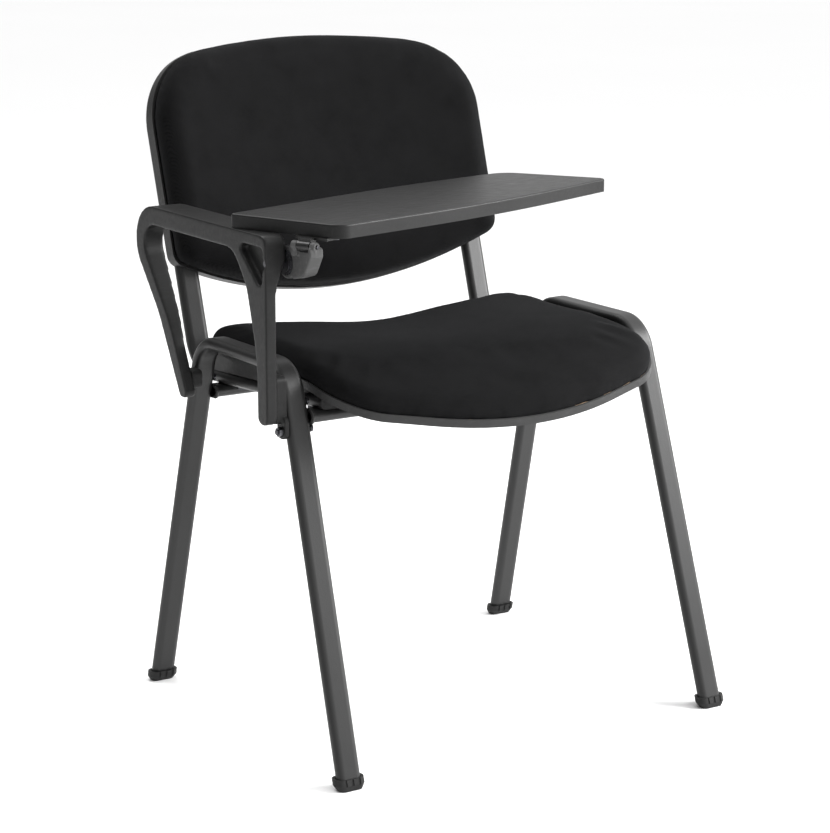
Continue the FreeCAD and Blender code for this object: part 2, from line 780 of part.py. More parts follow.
back_screw_spots = [back_screw_place(side, v) for side in (RIGHT, LEFT) for v in back_screw_vs]
feature("back_screws", at_points(cap_screw(5.0, 3.0, screw_radius, 26.0, 3.0),
                                 back_screw_spots))


def back_nut(side, v):
    hole = Part.makeCylinder(nut_radius, 60, Vector(side * dim("upright_x"), v, -35))
    plug = hole.common(back_panel(8.0, rim_z, rim_z + dim("board_thick")))
    return plug.cut(Part.makeCylinder(screw_radius, 60, Vector(side * dim("upright_x"), v, -35)))


feature("back_nuts", Part.makeCompound(
    [back_nut(side, v) for side in (RIGHT, LEFT) for v in back_screw_vs]), CHAIR * BACK_AT)

plug_flange = 2.0
plug_depth = 6.0


def end_plug():
    """Push-in plug for an open tube end, its flange on the tube's end face."""
    flange = oval_bar(dim("tube_wide"), dim("tube_thick"), plug_flange)
    inside = 2 * dim("tube_wall") + 0.2
    plug = oval_bar(dim("tube_wide") - inside, dim("tube_thick") - inside, plug_depth)
    plug.translate(Vector(0, 0, -plug_depth))
    return flange.fuse(plug)


run_end = run_line - carrier_back * (dim("bar_pitch") + run_start)
run_turn = SEAT_TILT * Rotation(ACROSS, 90)
feature("upright_end_plugs", at_points(end_plug(), [
    Placement(end + ACROSS * (side * dim("upright_x")), turn) for side in (RIGHT, LEFT)
    for end, turn in ((run_end, run_turn), (top_point, Rotation(ACROSS, -dim("recline"))))]))

# ---------------------------------------------------------------- arm brackets and bolts


def leg_space(side, end, play):
    """The room a straight leg takes, with play all round."""
    bar = oval_bar(dim("tube_wide") + 2 * play, dim("tube_thick") + 2 * play, 440)
    lean = dim("front_lean") if end < 0 else dim("rear_lean")
    frame_tilt = Rotation(Vector(0, 1, 0), -side * dim("splay"))
    bar.Placement = (Placement(Vector(side * dim("foot_span") / 2, 0, 0), frame_tilt)
                     * Placement(Vector(0, end * half_base, 0), Rotation(ACROSS, end * lean)))
    return bar


def across_hole(radius, y, z, start, end):
    return Part.makeCylinder(radius, end - start, Vector(start, y, z), ACROSS)


leg_face = ARM_X + 28.0
nut_seat_x = ARM_X + 22.0


def arm_bracket(blocks, end, holes):
    """Spacer between the arm and the side frame, saddled over the tube."""
    bracket = None
    for low, high, radius in blocks:
        block = rounded_box(low, high, radius)
        bracket = block if bracket is None else bracket.fuse(block)
    bracket = bracket.cut(leg_space(RIGHT, end, 0.15))
    for y, z in holes:
        bracket = bracket.cut(across_hole(bolt_radius + 0.3, y, z, ARM_X - 5, leg_face + 5))
    return bracket.removeSplitter()


feature("arm_bracket_front", arm_bracket([
    (Vector(post_inner, post_front + 3, 403), Vector(leg_face, -82, 458), 6.0),
    (Vector(nut_seat_x, -114, 385), Vector(leg_face, -95, 412), 7.0)],
    -1, [front_post_bolt, front_leg_bolt]))
feature("arm_bracket_rear", arm_bracket([
    (Vector(post_inner, 94, 407), Vector(leg_face, 118, 430), 6.0),
    (Vector(nut_seat_x, 107, 402), Vector(leg_face, 137, 422), 7.0)],
    1, [rear_post_bolt, rear_leg_bolt]))


def arm_bolt(y, z, seat, tip):
    """A low-head bolt along -X: its head on the inboard side of seat, its tip outboard."""
    screw = cap_screw(4.7, 2.6, bolt_radius, seat - tip, 4.0)
    screw.Placement = Placement(Vector(seat, y, z), Rotation(UP, Vector(-1, 0, 0)))
    return screw


leg_seat = -frame_x(410) + dim("tube_wide") / 2 + 0.4
bolt_tip = post_inner - insert_depth
feature("arm_bolts", Part.makeCompound([
    arm_bolt(*front_post_bolt, leg_seat, bolt_tip),
    arm_bolt(*rear_post_bolt, leg_face, bolt_tip),
    arm_bolt(*front_leg_bolt, leg_seat, nut_seat_x - 7),
    arm_bolt(*rear_leg_bolt, leg_seat, nut_seat_x - 7)]))


def ring_across(outer, inner, y, z, start, end):
    return across_hole(outer, y, z, start, end).cut(
        across_hole(inner, y, z, start - 1, end + 1))


feature("arm_inserts", Part.makeCompound([
    ring_across(insert_radius, bolt_radius, y, z, post_inner - insert_depth, post_inner)
    for y, z in (front_post_bolt, rear_post_bolt)]))


def hex_nut(across_flats, bore, y, z, start, end):
    nut = hexagon(across_flats, start, end, ACROSS)
    nut.translate(Vector(0, y, z))
    return nut.cut(across_hole(bore, y, z, start - 1, end + 1))


feature("arm_nuts", Part.makeCompound([
    hex_nut(10.0, bolt_radius, y, z, nut_seat_x - 5, nut_seat_x)
    for y, z in (front_leg_bolt, rear_leg_bolt)]))

# ---------------------------------------------------------------- tablet hinge

swing = Vector(0, dim("swing_y"), dim("swing_z"))
boss_face = ARM_X + 27.0
cup_start = boss_face + 4.6
cup_end = cup_start + 19.0
cup_radius = 19.0
head_pocket = cup_end - 9.0
swing_bore = dim("swing_bolt") + dim("running_fit")

near_rear = Vector(-dim("arm_outer"), -30, 0)
near_front = Vector(-236, -176, 0)
lift_dir = (near_front - near_rear).normalize()
inboard = Vector(-lift_dir.y, lift_dir.x, 0)
hinge_offset = 10.5
barrel_radius = 5.5
barrel_start, barrel_end = 99.0, 133.0
leaf_start, leaf_end = 107.0, 125.0
side_play = 0.3
leaf_top = dim("arm_top") + dim("tablet_gap")
leaf_thick = 3.0
leaf_reach = 84.0


def hinge_point(along, off=0.0, height=None):
    """A point given along the lift hinge, inboard of it, and by its height."""
    base = near_rear + lift_dir * along + inboard * (off - hinge_offset)
    return Vector(base.x, base.y, dim("lift_z") if height is None else height)


def hinge_rod(radius, start, end):
    return Part.makeCylinder(radius, end - start, hinge_point(start), lift_dir)


def hinge_block(start, end, off_low, off_high, low, high):
    """A block square to the lift hinge."""
    corners = [hinge_point(start, off_low), hinge_point(end, off_low),
               hinge_point(end, off_high), hinge_point(start, off_high)]
    outline = Part.Face(Part.makePolygon([Vector(c.x, c.y, low) for c in corners + corners[:1]]))
    return outline.extrude(Vector(0, 0, high - low))


def knuckle_shape():
    """Friction cup that turns on the swing bolt and carries the lift hinge."""
    cup = across_hole(cup_radius, swing.y, swing.z, cup_start, cup_end)
    rim = [edge for edge in cup.Edges if abs(edge.BoundBox.Center.x - cup_end) < 0.1]
    cup = cup.makeFillet(6.0, rim)
    outline = [(-96, 603, 3), (-118, 611, 6), (-157, 611, 3), (-158, 601, 4),
               (-143, 578, 13), (-118, 571, 3)]
    web = face_of(outline).extrude(Vector(0, 0, 17))
    web.Placement = Placement(Vector(cup_start, 0, 0), Rotation(Vector(1, 1, 1), 120))
    knuckle = cup.fuse(web)
    for start, end in ((barrel_start, leaf_start), (leaf_end, barrel_end)):
        knuckle = knuckle.fuse(hinge_rod(barrel_radius, start, end))
        knuckle = knuckle.fuse(hinge_block(start, end, -3, 5.5, 600, dim("lift_z")))
    knuckle = knuckle.cut(hinge_block(leaf_start - side_play, leaf_end + side_play, -30, 30,
                                      dim("lift_z") - barrel_radius - 0.8, 640))
    knuckle = knuckle.cut(hinge_rod(dim("hinge_wire"), barrel_start - 5, barrel_end + 5))
    knuckle = knuckle.cut(across_hole(swing_bore, swing.y, swing.z, cup_start - 1, cup_end))
    knuckle = knuckle.cut(across_hole(7.5, swing.y, swing.z, head_pocket, cup_end + 1))
    stop_notch = Part.makeBox(9, 7, 6, Vector(cup_end - 13, swing.y - 3.5, swing.z - cup_radius - 2))
    knuckle = knuckle.cut(stop_notch)
    return knuckle.removeSplitter()


feature("knuckle", knuckle_shape())

bolt_head = hexagon(10.0, head_pocket, head_pocket + 4, ACROSS)
bolt_head.translate(swing)
feature("swing_bolt", bolt_head.fuse(across_hole(
    dim("swing_bolt"), swing.y, swing.z, ARM_X + 3.5, head_pocket)))
feature("swing_nut", hex_nut(10.0, dim("swing_bolt"), swing.y, swing.z,
                             nut_floor - 5.5, nut_floor))
feature("friction_washers", Part.makeCompound([
    ring_across(radius, dim("swing_bolt"), swing.y, swing.z, start, end)
    for radius, start, end in ((13.0, boss_face, boss_face + 1.5),
                               (15.0, boss_face + 1.5, cup_start - 0.1))]))
feature("hinge_pin", hinge_rod(dim("hinge_wire"), barrel_start - 1.5, barrel_end + 1.5))

leaf_screws_at = [(106.0, 34.0), (134.0, 34.0), (106.0, 72.0), (134.0, 72.0)]
leaf_screw_radius = 2.0
leaf = hinge_block(98, 142, 6.5, leaf_reach, leaf_top - leaf_thick, leaf_top)
leaf = leaf.fuse(hinge_block(leaf_start + side_play, leaf_end - side_play, -1.0, 9.0,
                             dim("lift_z"), leaf_top))
leaf = leaf.fuse(hinge_rod(barrel_radius, leaf_start + side_play, leaf_end - side_play))
leaf = leaf.cut(hinge_rod(dim("hinge_wire") + dim("running_fit"), 90, 150))
for along, off in leaf_screws_at:
    foot_point = hinge_point(along, off, leaf_top - 10)
    leaf = leaf.cut(Part.makeCylinder(leaf_screw_radius + 0.2, 20, foot_point))
feature("tablet_plate", leaf.removeSplitter())

leaf_screw = cap_screw(3.6, 2.0, leaf_screw_radius, leaf_thick + 9.0, 2.2)
feature("tablet_screws", at_points(leaf_screw, [
    Placement(hinge_point(along, off, leaf_top - leaf_thick), Rotation())
    for along, off in leaf_screws_at]))

# ---------------------------------------------------------------- tablet

TABLET = [(near_rear.x, near_rear.y, 5), (near_front.x, near_front.y, 18), (12, -120, 1700),
          (244, -27, 9), (167, 92, 32), (-9, 60, 1900)]


def inset(corners, distance):
    """The same outline moved inward; the corners run anticlockwise."""
    points = [Vector(u, v, 0) for u, v, radius in corners]
    result = []
    for index, (u, v, radius) in enumerate(corners):
        before = (points[index] - points[index - 1]).normalize()
        after = (points[(index + 1) % len(points)] - points[index]).normalize()
        inward = Vector(-before.y - after.y, before.x + after.x, 0).normalize()
        reach = distance / math.sqrt((1 + before.dot(after)) / 2)
        moved = points[index] + inward * reach
        result.append((moved.x, moved.y, max(radius - distance, 1.5)))
    return result


def rib_outline(start, end, width):
    along = (end - start).normalize()
    side = Vector(-along.y, along.x, 0) * (width / 2)
    return [(point.x, point.y, 0) for point in (start - side, end - side, end + side, start + side)]


def tablet_body():
    """Moulded writing tablet: a skin with a deep rim, ribs and screw bosses under it."""
    top = body("tablet_top")
    skin = dim("tablet_skin")
    outline = sketch(top, "XY_Plane", "outline", lifted(leaf_top))
    draw(outline, TABLET)
    solid_feature(top, "Pad", "plate", Profile=outline, Length="=Dims.tablet_thick")
    doc.recompute()
    cavity = sketch(top, "XY_Plane", "cavity", lifted(leaf_top))
    draw(cavity, inset(TABLET, skin))
    before = top.Shape.Volume
    solid_feature(top, "Pocket", "cavity_cut", Profile=cavity, Reversed=True,
                  Length="=Dims.tablet_thick - Dims.tablet_skin")
    doc.recompute()
    if top.Shape.Volume > 0.6 * before:
        raise RuntimeError("tablet cavity cut nothing")
    rib_height = dim("tablet_thick") - skin
    ribs = [(Vector(-262, -70, 0), Vector(225, 0, 0)), (Vector(-245, -140, 0), Vector(222, -20, 0)),
            (Vector(-180, -158, 0), Vector(-208, -6, 0)), (Vector(-60, -126, 0), Vector(-85, 33, 0)),
            (Vector(60, -98, 0), Vector(35, 66, 0)), (Vector(160, -60, 0), Vector(140, 82, 0))]
    for index, (start, end) in enumerate(ribs):
        web = sketch(top, "XY_Plane", "rib%d" % index, lifted(leaf_top + 1.0))
        draw(web, rib_outline(start, end, 2.2))
        solid_feature(top, "Pad", "rib%d_pad" % index, Profile=web, Length=rib_height - 0.5)
        doc.recompute()
    bosses = sketch(top, "XY_Plane", "bosses", lifted(leaf_top))
    pilots = sketch(top, "XY_Plane", "pilots", lifted(leaf_top))
    for along, off in leaf_screws_at:
        spot = hinge_point(along, off, 0)
        bosses.addGeometry(Part.Circle(spot, UP, 5.0))
        pilots.addGeometry(Part.Circle(spot, UP, leaf_screw_radius))
    solid_feature(top, "Pad", "boss_pads", Profile=bosses, Length=rib_height + 0.5)
    doc.recompute()
    solid_feature(top, "Pocket", "pilot_cuts", Profile=pilots, Reversed=True, Length=9.2)
    doc.recompute()
    solid = top.Shape
    high = [index for index, edge in enumerate(solid.Edges, start=1)
            if abs(edge.BoundBox.ZMin - leaf_top - dim("tablet_thick")) < 0.01
            and abs(edge.BoundBox.ZMax - leaf_top - dim("tablet_thick")) < 0.01]
    solid_feature(top, "Fillet", "top_edge", Base=(top.Tip, ["Edge%d" % n for n in high]),
                  Radius=2.2)
    doc.recompute()
    top.Placement = CHAIR


tablet_body()

# ---------------------------------------------------------------- export

doc.recompute()
for made in doc.Objects:
    if "Invalid" in made.State or "Error" in made.State:
        raise RuntimeError("%s failed: %s" % (made.Label, made.State))
for piece in parts:
    if piece.Shape.isNull() or not piece.Shape.isValid():
        raise RuntimeError(piece.Label + " has no valid shape")
os.makedirs("parts", exist_ok=True)
for piece in parts:
    piece.Shape.exportStep("parts/%s.step" % piece.Label)
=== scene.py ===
"""Student desk chair: looks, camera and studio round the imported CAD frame. Sizes in metres."""
import json
import math

import bmesh
import bpy
from mathutils import Matrix, Vector
from mathutils.bvhtree import BVHTree


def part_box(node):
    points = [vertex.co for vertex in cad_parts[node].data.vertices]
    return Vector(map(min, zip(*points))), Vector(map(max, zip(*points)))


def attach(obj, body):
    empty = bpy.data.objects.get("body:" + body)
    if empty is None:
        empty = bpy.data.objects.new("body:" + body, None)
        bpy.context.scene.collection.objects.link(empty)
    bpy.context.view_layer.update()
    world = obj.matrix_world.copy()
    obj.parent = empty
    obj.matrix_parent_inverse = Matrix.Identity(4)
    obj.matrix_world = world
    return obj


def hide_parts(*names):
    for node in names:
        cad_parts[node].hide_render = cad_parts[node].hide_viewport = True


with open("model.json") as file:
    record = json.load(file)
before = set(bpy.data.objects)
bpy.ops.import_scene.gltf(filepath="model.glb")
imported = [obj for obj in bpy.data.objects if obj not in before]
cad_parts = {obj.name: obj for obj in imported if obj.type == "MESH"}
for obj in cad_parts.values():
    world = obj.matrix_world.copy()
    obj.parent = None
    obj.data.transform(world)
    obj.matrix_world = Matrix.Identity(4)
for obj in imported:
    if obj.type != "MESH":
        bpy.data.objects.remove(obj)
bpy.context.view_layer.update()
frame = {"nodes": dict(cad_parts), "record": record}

MM = 0.001
nodes = frame["nodes"]
record = frame["record"]

# ---------------------------------------------------------------- camera

CAMERA_AT = Vector((-1.6989, -2.6736, 1.0804))
CAMERA_AZIMUTH, CAMERA_ELEVATION = math.radians(32.73), math.radians(13.04)
SENSOR = 36.0
LENS = 112.4


def add_camera():
    data = bpy.data.cameras.new("photo_camera")
    data.lens = LENS
    data.sensor_width = SENSOR
    camera = bpy.data.objects.new("photo_camera", data)
    forward = Vector((math.sin(CAMERA_AZIMUTH) * math.cos(CAMERA_ELEVATION),
                      math.cos(CAMERA_AZIMUTH) * math.cos(CAMERA_ELEVATION),
                      -math.sin(CAMERA_ELEVATION)))
    camera.location = CAMERA_AT
    camera.rotation_euler = forward.to_track_quat("-Z", "Y").to_euler()
    bpy.context.scene.collection.objects.link(camera)
    bpy.context.scene.camera = camera


add_camera()

# ---------------------------------------------------------------- shader helpers


class Shader:
    """A node tree built step by step; every method returns an output socket."""

    def __init__(self, name, **surface):
        self.material = bpy.data.materials.new(name)
        self.material.use_nodes = True
        self.tree = self.material.node_tree
        self.tree.nodes.clear()
        self.surface = self.tree.nodes.new("ShaderNodeBsdfPrincipled")
        output = self.tree.nodes.new("ShaderNodeOutputMaterial")
        self.tree.links.new(self.surface.outputs[0], output.inputs[0])
        for socket, value in surface.items():
            self.surface.inputs[socket.replace("_", " ")].default_value = value

    def node(self, kind, **settings):
        made = self.tree.nodes.new("ShaderNode" + kind)
        for key, value in settings.items():
            setattr(made, key, value)
        return made

    def feed(self, socket, value):
        if isinstance(value, bpy.types.NodeSocket):
            self.tree.links.new(value, socket)
        else:
            socket.default_value = value

    def position(self):
        return self.node("TexCoord").outputs["Object"]

    def axes(self):
        split = self.node("SeparateXYZ")
        self.feed(split.inputs[0], self.position())
        return split.outputs

    def math(self, operation, first, second=0.0, third=None):
        made = self.node("Math", operation=operation)
        self.feed(made.inputs[0], first)
        self.feed(made.inputs[1], second)
        if third is not None:
            self.feed(made.inputs[2], third)
        return made.outputs[0]

    def noise(self, scale, detail=3.0, roughness=0.55):
        made = self.node("TexNoise")
        self.feed(made.inputs["Vector"], self.position())
        made.inputs["Scale"].default_value = scale
        made.inputs["Detail"].default_value = detail
        made.inputs["Roughness"].default_value = roughness
        return made.outputs["Fac"]

    def cells(self, scale):
        made = self.node("TexVoronoi", feature="F1")
        self.feed(made.inputs["Vector"], self.position())
        made.inputs["Scale"].default_value = scale
        return made.outputs["Distance"]

    def ramp(self, value, *stops):
        made = self.node("ValToRGB")
        colours = made.color_ramp.elements
        while len(colours) < len(stops):
            colours.new(0.5)
        for element, (place, colour) in zip(colours, stops):
            element.position = place
            element.color = colour if len(colour) == 4 else (*colour, 1.0)
        self.feed(made.inputs[0], value)
        return made.outputs[0]

    def spread(self, value, low, high, start=0.0, end=1.0):
        made = self.node("MapRange")
        for socket, number in zip(made.inputs[:5], (value, start, end, low, high)):
            self.feed(socket, number)
        return made.outputs[0]

    def mix(self, factor, first, second):
        made = self.node("Mix", data_type="RGBA")
        self.feed(made.inputs[0], factor)
        self.feed(made.inputs[6], first)
        self.feed(made.inputs[7], second)
        return made.outputs[2]

    def bump(self, height, strength, distance, below=None):
        made = self.node("Bump")
        made.inputs["Strength"].default_value = strength
        made.inputs["Distance"].default_value = distance
        self.feed(made.inputs["Height"], height)
        if below is not None:
            self.feed(made.inputs["Normal"], below)
        return made.outputs[0]

    def set(self, socket, value):
        self.feed(self.surface.inputs[socket], value)


def grey(value):
    return (value, value, value, 1.0)


def powder_coat():
    """Matt black powder coat: orange peel, a fine speckle and slow changes in gloss."""
    steel = Shader("powder_coat", IOR=1.5, Specular_IOR_Level=0.4)
    slow = steel.noise(7.0, 3.0)
    speckle = steel.noise(3200.0, 2.0)
    tone = steel.math("ADD", steel.math("MULTIPLY", slow, 0.7),
                      steel.math("MULTIPLY", speckle, 0.3))
    steel.set("Base Color", steel.ramp(tone, (0.3, grey(0.010)), (0.7, grey(0.015))))
    steel.set("Roughness", steel.spread(slow, 0.36, 0.46, 0.3, 0.7))
    peel = steel.bump(steel.noise(700.0, 2.0), 0.20, 0.0005)
    steel.set("Normal", steel.bump(steel.cells(2600.0), 0.10, 0.0002, peel))
    return steel.material


def moulded(name, dark, light, rough, grain, grain_depth):
    """Moulded plastic: an etched grain, faint flow marks and scuffs that catch the light."""
    plastic = Shader(name, IOR=1.48, Specular_IOR_Level=0.2)
    flow = plastic.noise(9.0, 3.0)
    scuffs = plastic.node("TexNoise")
    stretched = plastic.node("Mapping")
    stretched.inputs["Scale"].default_value = (6.0, 40.0, 22.0)
    plastic.feed(stretched.inputs[0], plastic.position())
    plastic.feed(scuffs.inputs["Vector"], stretched.outputs[0])
    scuffs.inputs["Scale"].default_value = 9.0
    scuffs.inputs["Detail"].default_value = 6.0
    rub = plastic.spread(scuffs.outputs["Fac"], 0.0, 1.0, 0.56, 0.74)
    base = plastic.ramp(flow, (0.3, grey(dark)), (0.7, grey(light)))
    plastic.set("Base Color", plastic.mix(plastic.math("MULTIPLY", rub, 0.35), base,
                                          grey(light * 1.8)))
    plastic.set("Roughness", plastic.spread(scuffs.outputs["Fac"], rough + 0.06, rough - 0.06,
                                            0.3, 0.7))
    fine = plastic.bump(plastic.cells(grain), 0.35, grain_depth)
    plastic.set("Normal", plastic.bump(plastic.noise(grain * 0.35, 2.0), 0.15, grain_depth, fine))
    return plastic.material


THREAD_PITCH = 1.4 * MM


def weave(name, across, along):
    """Near-black plain-weave upholstery, with painted shade in the dips between threads; across
    and along name the two thread directions.
    """
    cloth = Shader(name, Sheen_Weight=0.015, Sheen_Roughness=0.5, IOR=1.40,
                   Specular_IOR_Level=0.08)
    cloth.surface.inputs["Sheen Tint"].default_value = (0.55, 0.57, 0.62, 1.0)
    x, y, z = cloth.axes()
    places = {"x": x, "y": y, "z": z}
    side = places[({"x", "y", "z"} - {across, along}).pop()]
    waver = cloth.math("MULTIPLY", cloth.noise(60.0, 2.0), 0.0030)
    u = cloth.math("ADD", cloth.math("ADD", places[across], side), waver)
    v = cloth.math("ADD", cloth.math("ADD", places[along], side), waver)
    turn = math.pi / THREAD_PITCH
    wave_u = cloth.math("SINE", cloth.math("MULTIPLY", u, turn))
    wave_v = cloth.math("SINE", cloth.math("MULTIPLY", v, turn))
    over = cloth.math("MULTIPLY", wave_u, wave_v)
    warp = cloth.math("ABSOLUTE", wave_u)
    weft = cloth.math("ABSOLUTE", wave_v)
    top = cloth.spread(over, 0.0, 1.0, -0.25, 0.25)
    threads = cloth.math("ADD", cloth.math("MULTIPLY", warp, top),
                         cloth.math("MULTIPLY", weft, cloth.math("SUBTRACT", 1.0, top)))
    fibres = cloth.noise(2400.0, 3.0, 0.7)
    height = cloth.math("ADD", threads, cloth.math("MULTIPLY", fibres, 0.45))
    mottle = cloth.noise(24.0, 5.0, 0.6)
    # base colour follows the thread height: painted shade in the dips between threads and lighter
    # crowns, times a random mottle in tone
    thread_shade_and_mottle = cloth.math("MULTIPLY", height, cloth.spread(mottle, 0.75, 1.2, 0.3, 0.7))
    cloth.set("Base Color", cloth.ramp(thread_shade_and_mottle, (0.25, (0.0016, 0.0016, 0.0017)),
                                       (0.75, (0.0042, 0.0042, 0.0044)),
                                       (1.0, (0.0078, 0.0078, 0.0081))))
    cloth.set("Roughness", cloth.spread(fibres, 0.78, 0.95))
    soft = cloth.bump(mottle, 0.18, 0.0012)
    cloth.set("Normal", cloth.bump(height, 0.32, 0.0004, soft))
    return cloth.material


def black_zinc():
    """Black zinc plate on screws: a dark metal with a drawn grain and paler rubbed spots."""
    metal = Shader("black_zinc", Metallic=1.0)
    spots = metal.noise(300.0, 4.0)
    metal.set("Base Color", metal.ramp(spots, (0.35, (0.055, 0.055, 0.06)),
                                       (0.7, (0.13, 0.13, 0.14))))
    metal.set("Roughness", metal.spread(metal.noise(700.0, 3.0), 0.3, 0.5, 0.3, 0.7))
    metal.set("Normal", metal.bump(metal.noise(1500.0, 2.0), 0.12, 0.0003))
    return metal.material


def beech():
    """Bare plywood: long grain bands."""
    wood = Shader("beech_ply")
    grain = wood.node("TexWave", wave_type="BANDS", bands_direction="Y")
    wood.feed(grain.inputs["Vector"], wood.position())
    grain.inputs["Scale"].default_value = 30.0
    grain.inputs["Distortion"].default_value = 5.0
    grain.inputs["Detail"].default_value = 3.0
    wood.set("Base Color", wood.ramp(grain.outputs["Fac"], (0.0, (0.42, 0.28, 0.16)),
                                     (1.0, (0.60, 0.43, 0.27))))
    wood.set("Roughness", wood.spread(grain.outputs["Fac"], 0.55, 0.75))
    wood.set("Normal", wood.bump(grain.outputs["Fac"], 0.2, 0.0004))
    return wood.material


materials = {
    "frame_steel": powder_coat(),
    "foot_plastic": moulded("foot_plastic", 0.012, 0.018, 0.55, 1800.0, 0.0003),
    "shell_plastic": moulded("shell_plastic", 0.024, 0.032, 0.46, 1500.0, 0.0003),
    "arm_plastic": moulded("arm_plastic", 0.009, 0.014, 0.42, 1500.0, 0.0003),
    "mechanism_plastic": moulded("mechanism_plastic", 0.062, 0.080, 0.48, 1700.0, 0.0003),
    "black_plastic": moulded("black_plastic", 0.008, 0.013, 0.52, 1700.0, 0.0003),
    "tablet_plastic": moulded("tablet_plastic", 0.010, 0.015, 0.38, 1300.0, 0.0003),
    "screw_steel": black_zinc(),
    "plywood": beech(),
    "fabric": weave("seat_fabric", "x", "y"),
}
back_fabric = weave("back_fabric", "x", "z")

for row in record["subparts"]:
    for slot in nodes[row["node"]].material_slots:
        slot.material = materials[row["material_slot"]]

# ---------------------------------------------------------------- piece helpers


def linked(name, mesh):
    piece = bpy.data.objects.new(name, mesh)
    bpy.context.scene.collection.objects.link(piece)
    return piece


def dressed(piece, body, slot, material=None):
    """Makes a mesh a visible piece: smooth, with its material (the slot's unless one is given) and
    its CAD body.
    """
    for face in piece.data.polygons:
        face.use_smooth = True
    piece.data.materials.clear()
    piece.data.materials.append(material or materials[slot])
    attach(piece, body)


def applied(piece):
    """Replaces a piece's mesh by what its modifiers make of it."""
    bpy.context.view_layer.update()
    graph = bpy.context.evaluated_depsgraph_get()
    mesh = bpy.data.meshes.new_from_object(piece.evaluated_get(graph))
    piece.modifiers.clear()
    piece.data = mesh
    return piece


def joined(name, *names):
    """CAD nodes' meshes together in one new loose object."""
    both = bmesh.new()
    for node in names:
        both.from_mesh(nodes[node].data)
    mesh = bpy.data.meshes.new(name)
    both.to_mesh(mesh)
    both.free()
    return linked(name, mesh)


def remeshed(work, voxel):
    step = work.modifiers.new("remesh", "REMESH")
    step.mode = "VOXEL"
    step.voxel_size = voxel
    step.adaptivity = 0.0
    return applied(work)


def relaxed(work, times):
    step = work.modifiers.new("relax", "SMOOTH")
    step.iterations = times
    step.factor = 0.5
    return applied(work)


def rounded_piece(name, node, body, slot, voxel, times):
    """Stands for a moulded CAD node, with every edge eased the way a mould leaves it."""
    work = relaxed(remeshed(joined(name, node), voxel), times)
    dressed(work, body, slot)
    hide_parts(node)


rounded_piece("arm_moulding", "arm_loop", "chair", "arm_plastic", voxel=0.0018, times=6)
rounded_piece("knuckle_moulding", "knuckle", "swing_knuckle", "mechanism_plastic",
              voxel=0.0010, times=5)
for end in ("front", "rear"):
    rounded_piece("bracket_%s_moulding" % end, "arm_bracket_" + end, "chair", "black_plastic",
                  voxel=0.0010, times=4)

# ---------------------------------------------------------------- weld beads

BAR_SLOPE = math.radians(3.2)
TUBE_REACH, TUBE_ROUND = 7.5 * MM, 7.5 * MM  # half the flat, and the radius of each end
BEAD_RADIUS = 1.7 * MM
BEAD_INSET = 2.2 * MM
BEAD_STEPS, BEAD_SIDES = 96, 8
RIPPLES, RIPPLE_DEPTH = 26, 0.16
DRIFT, DRIFT_DEPTH = 41.0, 0.12


def oval_point(turn):
    """A point of the flat-oval tube section and its outward direction, by turn from 0 to 1."""
    angle = 2 * math.pi * turn
    out = Vector((0.0, math.cos(angle), math.sin(angle)))
    return out * TUBE_ROUND + Vector((0.0, math.copysign(TUBE_REACH, out.y), 0.0)), out


def weld_bead(name, bar, side):
    """A rippled fillet weld round a crossbar's end, against the side frame."""
    low, high = (Vector(corner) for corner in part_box(bar))
    centre = (low + high) / 2
    across = Vector((side, 0.0, 0.0))
    face = Vector((high.x if side > 0 else low.x, centre.y, centre.z)) - across * BEAD_INSET
    tilt = Matrix.Rotation(-BAR_SLOPE, 3, "X")
    plan = bmesh.new()
    rings = []
    for step in range(BEAD_STEPS):
        turn = step / BEAD_STEPS
        point, out = oval_point(turn)
        ripple = (1.0 + RIPPLE_DEPTH * math.sin(2 * math.pi * turn * RIPPLES)
                  + DRIFT_DEPTH * math.sin(turn * DRIFT))
        ring = []
        for spoke in range(BEAD_SIDES):
            angle = 2 * math.pi * spoke / BEAD_SIDES
            away = (out * math.cos(angle) + across * math.sin(angle)) * BEAD_RADIUS * ripple
            ring.append(plan.verts.new(face + tilt @ (point + away)))
        rings.append(ring)
    for step, ring in enumerate(rings):
        onward = rings[(step + 1) % BEAD_STEPS]
        for spoke in range(BEAD_SIDES):
            beyond = (spoke + 1) % BEAD_SIDES
            plan.faces.new((ring[spoke], ring[beyond], onward[beyond], onward[spoke]))
    bmesh.ops.recalc_face_normals(plan, faces=plan.faces)
    mesh = bpy.data.meshes.new(name)
    plan.to_mesh(mesh)
    plan.free()
    dressed(linked(name, mesh), "chair", "frame_steel")


for bar in ("front", "rear"):
    for side_name, side in (("right", -1.0), ("left", 1.0)):
        weld_bead("weld_%s_%s" % (bar, side_name), bar + "_crossbar", side)

# ---------------------------------------------------------------- cushions

VOXEL = 5.0 * MM
COVER = 1.2 * MM
EDGE_EASE, CREASE_EASE = 4, 6
CLOTH_FRAMES = 20
PRESSURE = 4.0
SWELL = 3.0 * MM
GLUE_START, GLUE_FADE = 2.0 * MM, 12.0 * MM


